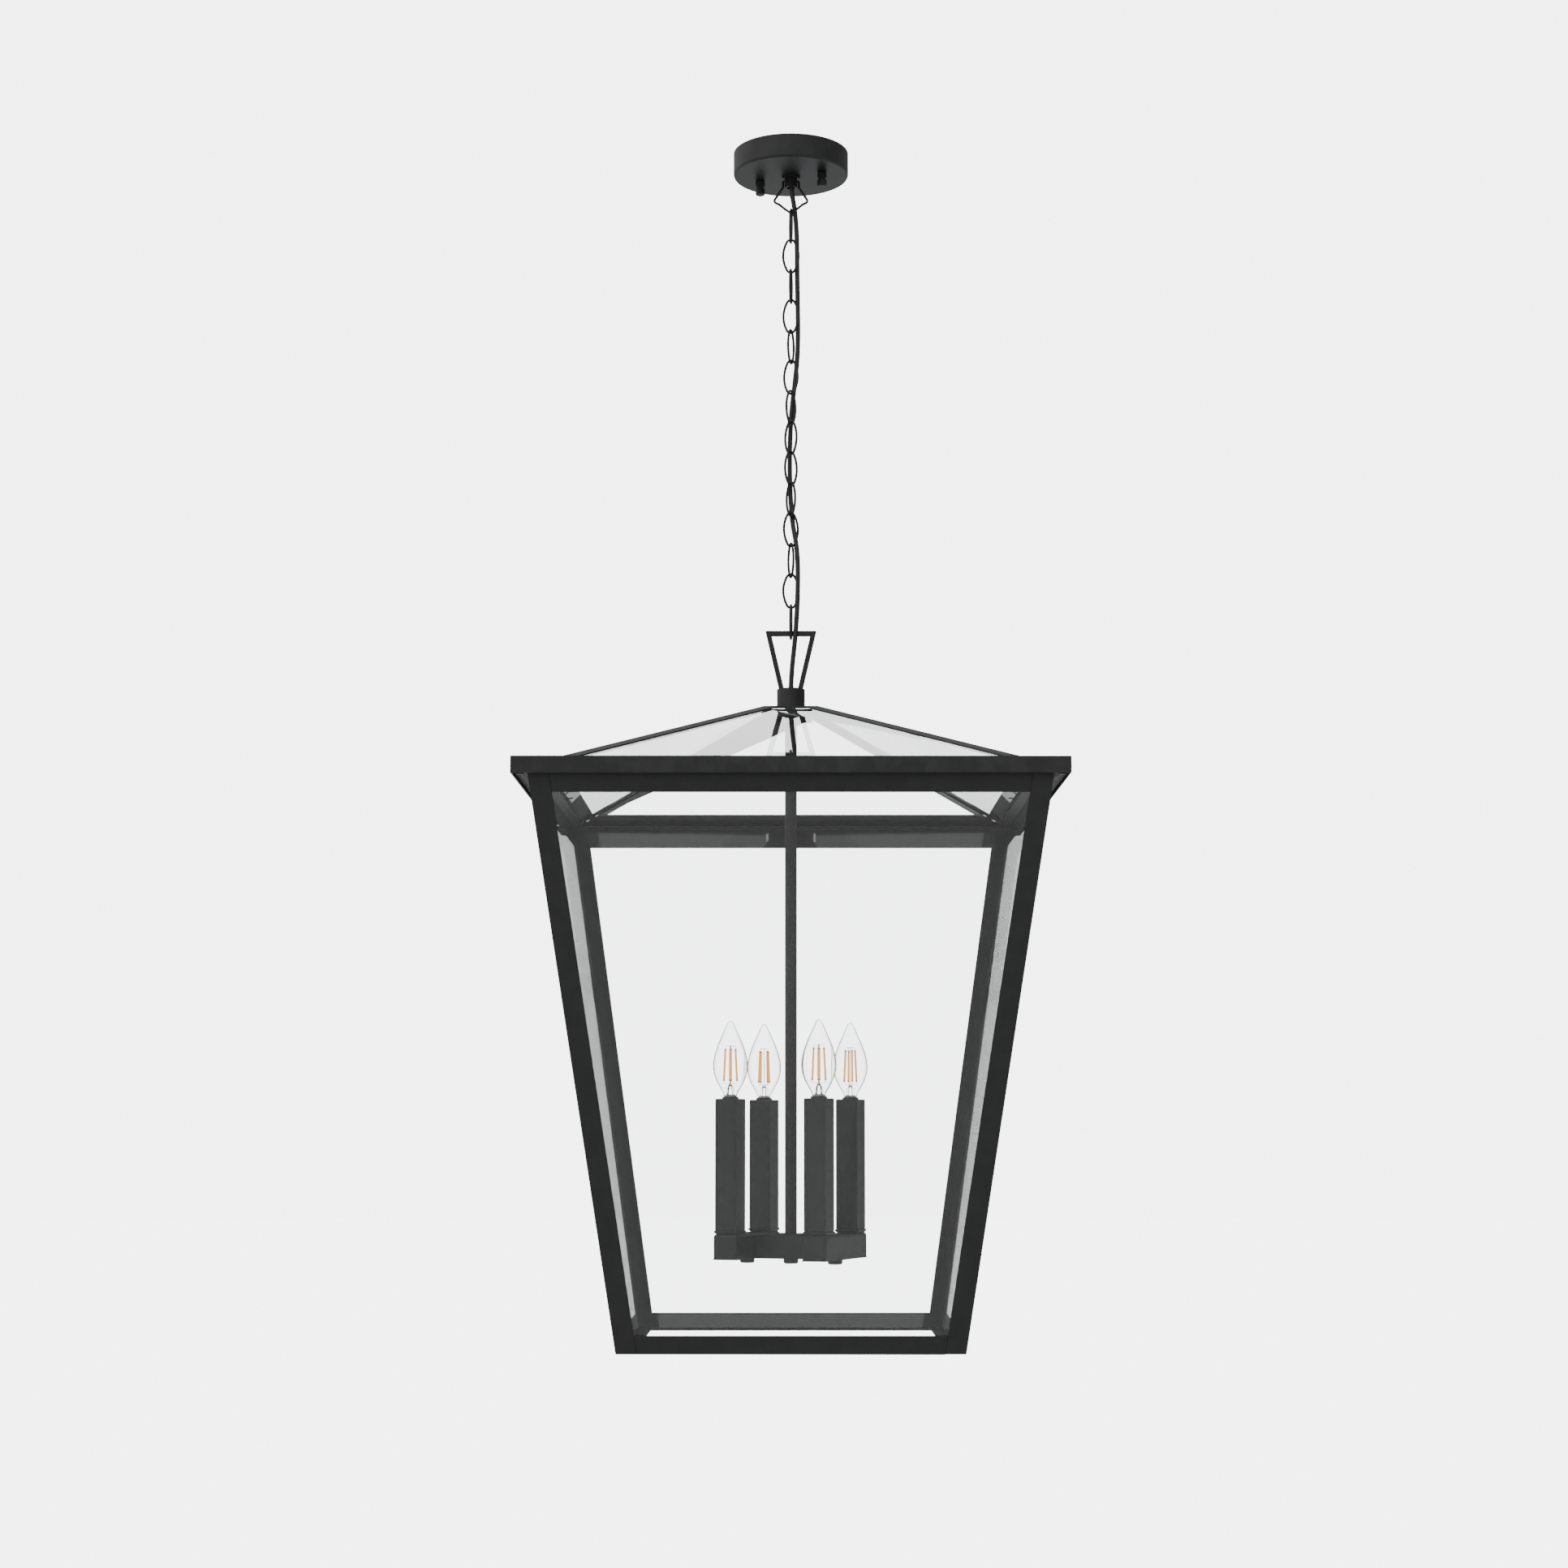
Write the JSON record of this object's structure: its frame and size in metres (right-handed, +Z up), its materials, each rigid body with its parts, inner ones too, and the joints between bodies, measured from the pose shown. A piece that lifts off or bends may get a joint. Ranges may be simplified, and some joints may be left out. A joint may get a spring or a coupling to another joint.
{
  "type": "hanging lantern",
  "caption": "Chain-hung lantern: tapered square glazed cage with a low hipped glass roof over a cluster of candle lamps, open below.",
  "frame": {"origin": "centre of the canopy's rim, on the ceiling plane", "axes": "+Z up towards the ceiling, +X to the lantern's right, -Y its front; it hangs at negative Z"},
  "size_m": [0.52, 0.52, 1.229],
  "materials": {
    "black_powder_coat": "satin black powder coat",
    "zinc_steel": "zinc plated",
    "green_screw": "green passivated",
    "flex_sheath": "smooth black sheath",
    "black_rubber": "matt",
    "socket_phenolic": "moulded phenolic",
    "clear_glass": "clear float glass",
    "lamp_glass": "clear blown glass"
  },
  "bodies": {
    "ceiling_mount": {"ceiling_strap": "zinc_steel", "strap_studs": "zinc_steel", "stud_lock_nuts": "zinc_steel", "ceiling_canopy": "black_powder_coat", "canopy_cap_nuts": "black_powder_coat", "loop_nipple": "black_powder_coat", "nipple_lock_nut": "zinc_steel", "screw_collar": "black_powder_coat", "ground_screw": "green_screw", "flex_cord": "flex_sheath"},
    "bail": {"wire_bail": "black_powder_coat"},
    "link_01": {"chain_link_01": "black_powder_coat"},
    "link_02": {"chain_link_02": "black_powder_coat"},
    "link_03": {"chain_link_03": "black_powder_coat"},
    "link_04": {"chain_link_04": "black_powder_coat"},
    "link_05": {"chain_link_05": "black_powder_coat"},
    "link_06": {"chain_link_06": "black_powder_coat"},
    "link_07": {"chain_link_07": "black_powder_coat"},
    "link_08": {"chain_link_08": "black_powder_coat"},
    "link_09": {"chain_link_09": "black_powder_coat"},
    "link_10": {"chain_link_10": "black_powder_coat"},
    "link_11": {"chain_link_11": "black_powder_coat"},
    "link_12": {"chain_link_12": "black_powder_coat"},
    "link_13": {"chain_link_13": "black_powder_coat"},
    "link_14": {"connector_link": "black_powder_coat"},
    "lantern": {"hanger_loop": "black_powder_coat", "hub_collar": "black_powder_coat", "cord_grommet": "black_rubber", "roof_cap_plate": "black_powder_coat", "hub_nut": "black_powder_coat", "eave_frame": "black_powder_coat", "eave_screws": "black_powder_coat", "hip_bars": "black_powder_coat", "roof_glass_front": "clear_glass", "roof_glass_right": "clear_glass", "roof_glass_back": "clear_glass", "roof_glass_left": "clear_glass", "glass_split_pins": "black_powder_coat", "corner_posts": "black_powder_coat", "top_rails": "black_powder_coat", "bottom_rails": "black_powder_coat", "side_glass_front": "clear_glass", "side_glass_right": "clear_glass", "side_glass_back": "clear_glass", "side_glass_left": "clear_glass", "frame_screws": "black_powder_coat", "stem_tube": "black_powder_coat", "cluster_bar_left": "black_powder_coat", "cluster_bar_right": "black_powder_coat", "cluster_cross_bar": "black_powder_coat", "cluster_cover": "black_powder_coat", "cluster_nuts": "black_powder_coat", "candle_cups": "black_powder_coat", "candle_sleeves": "black_powder_coat", "lamp_sockets": "socket_phenolic", "socket_posts": "zinc_steel"},
    "lamp_1": {"lamp_1": "lamp_glass"},
    "lamp_2": {"lamp_2": "lamp_glass"},
    "lamp_3": {"lamp_3": "lamp_glass"},
    "lamp_4": {"lamp_4": "lamp_glass"}
  },
  "joints": [
    {"name": "bail_swing", "type": "hinge", "parent": "ceiling_mount", "child": "bail", "pos_m": [0, 0, -0.029], "axis": [1, 0, 0], "range_deg": [-30, 30], "deforming": ["flex_cord"]},
    {"name": "link_01_swing", "type": "hinge", "parent": "bail", "child": "link_01", "pos_m": [0, 0, -0.06235], "axis": [1, 0, 0], "range_deg": [-25, 25], "deforming": ["flex_cord"]},
    {"name": "link_02_swing", "type": "hinge", "parent": "link_01", "child": "link_02", "pos_m": [0, 0, -0.09465], "axis": [-0.1236, 0.9923, 0], "range_deg": [-25, 25], "deforming": ["flex_cord"]},
    {"name": "link_03_swing", "type": "hinge", "parent": "link_02", "child": "link_03", "pos_m": [0, 0, -0.12695], "axis": [1, 0, 0], "range_deg": [-25, 25], "deforming": ["flex_cord"]},
    {"name": "link_04_swing", "type": "hinge", "parent": "link_03", "child": "link_04", "pos_m": [0, 0, -0.15925], "axis": [-0.1236, -0.9923, 0], "range_deg": [-25, 25], "deforming": ["flex_cord"]},
    {"name": "link_05_swing", "type": "hinge", "parent": "link_04", "child": "link_05", "pos_m": [0, 0, -0.19155], "axis": [-0.9694, 0.2453, 0], "range_deg": [-25, 25], "deforming": ["flex_cord"]},
    {"name": "link_06_swing", "type": "hinge", "parent": "link_05", "child": "link_06", "pos_m": [0, 0, -0.22385], "axis": [0.3633, 0.9317, 0], "range_deg": [-25, 25], "deforming": ["flex_cord"]},
    {"name": "link_07_swing", "type": "hinge", "parent": "link_06", "child": "link_07", "pos_m": [0, 0, -0.25615], "axis": [0.8796, -0.4756, 0], "range_deg": [-25, 25], "deforming": ["flex_cord"]},
    {"name": "link_08_swing", "type": "hinge", "parent": "link_07", "child": "link_08", "pos_m": [0, 0, -0.28845], "axis": [-0.5807, -0.8141, 0], "range_deg": [-25, 25], "deforming": ["flex_cord"]},
    {"name": "link_09_swing", "type": "hinge", "parent": "link_08", "child": "link_09", "pos_m": [0, 0, -0.32075], "axis": [-0.7361, 0.6769, 0], "range_deg": [-25, 25], "deforming": ["flex_cord"]},
    {"name": "link_10_swing", "type": "hinge", "parent": "link_09", "child": "link_10", "pos_m": [0, 0, -0.35305], "axis": [0.7627, 0.6468, 0], "range_deg": [-25, 25], "deforming": ["flex_cord"]},
    {"name": "link_11_swing", "type": "hinge", "parent": "link_10", "child": "link_11", "pos_m": [0, 0, -0.38535], "axis": [0.5476, -0.8368, 0], "range_deg": [-25, 25], "deforming": ["flex_cord"]},
    {"name": "link_12_swing", "type": "hinge", "parent": "link_11", "child": "link_12", "pos_m": [0, 0, -0.41765], "axis": [-0.898, -0.4399, 0], "range_deg": [-25, 25], "deforming": ["flex_cord"]},
    {"name": "link_13_swing", "type": "hinge", "parent": "link_12", "child": "link_13", "pos_m": [0, 0, -0.44995], "axis": [-0.3256, 0.9455, 0], "range_deg": [-25, 25], "deforming": ["flex_cord"]},
    {"name": "link_14_swing", "type": "hinge", "parent": "link_13", "child": "link_14", "pos_m": [0, 0, -0.48225], "axis": [0.9785, 0.2062, 0], "range_deg": [-25, 25], "deforming": ["flex_cord"]},
    {"name": "lantern_swing", "type": "hinge", "parent": "link_14", "child": "lantern", "pos_m": [0, 0, -0.50925], "axis": [1, 0, 0], "range_deg": [-25, 25], "deforming": ["flex_cord"]},
    {"name": "lamp_1_unscrew", "type": "hinge", "parent": "lantern", "child": "lamp_1", "pos_m": [-0.06073, -0.02211, -0.98], "axis": [0, 0, 1], "range_deg": [0, 1080]},
    {"name": "lamp_2_unscrew", "type": "hinge", "parent": "lantern", "child": "lamp_2", "pos_m": [-0.02772, 0.05838, -0.98], "axis": [0, 0, 1], "range_deg": [0, 1080]},
    {"name": "lamp_3_unscrew", "type": "hinge", "parent": "lantern", "child": "lamp_3", "pos_m": [0.02772, -0.05838, -0.98], "axis": [0, 0, 1], "range_deg": [0, 1080]},
    {"name": "lamp_4_unscrew", "type": "hinge", "parent": "lantern", "child": "lamp_4", "pos_m": [0.06073, 0.02211, -0.98], "axis": [0, 0, 1], "range_deg": [0, 1080]}
  ]
}
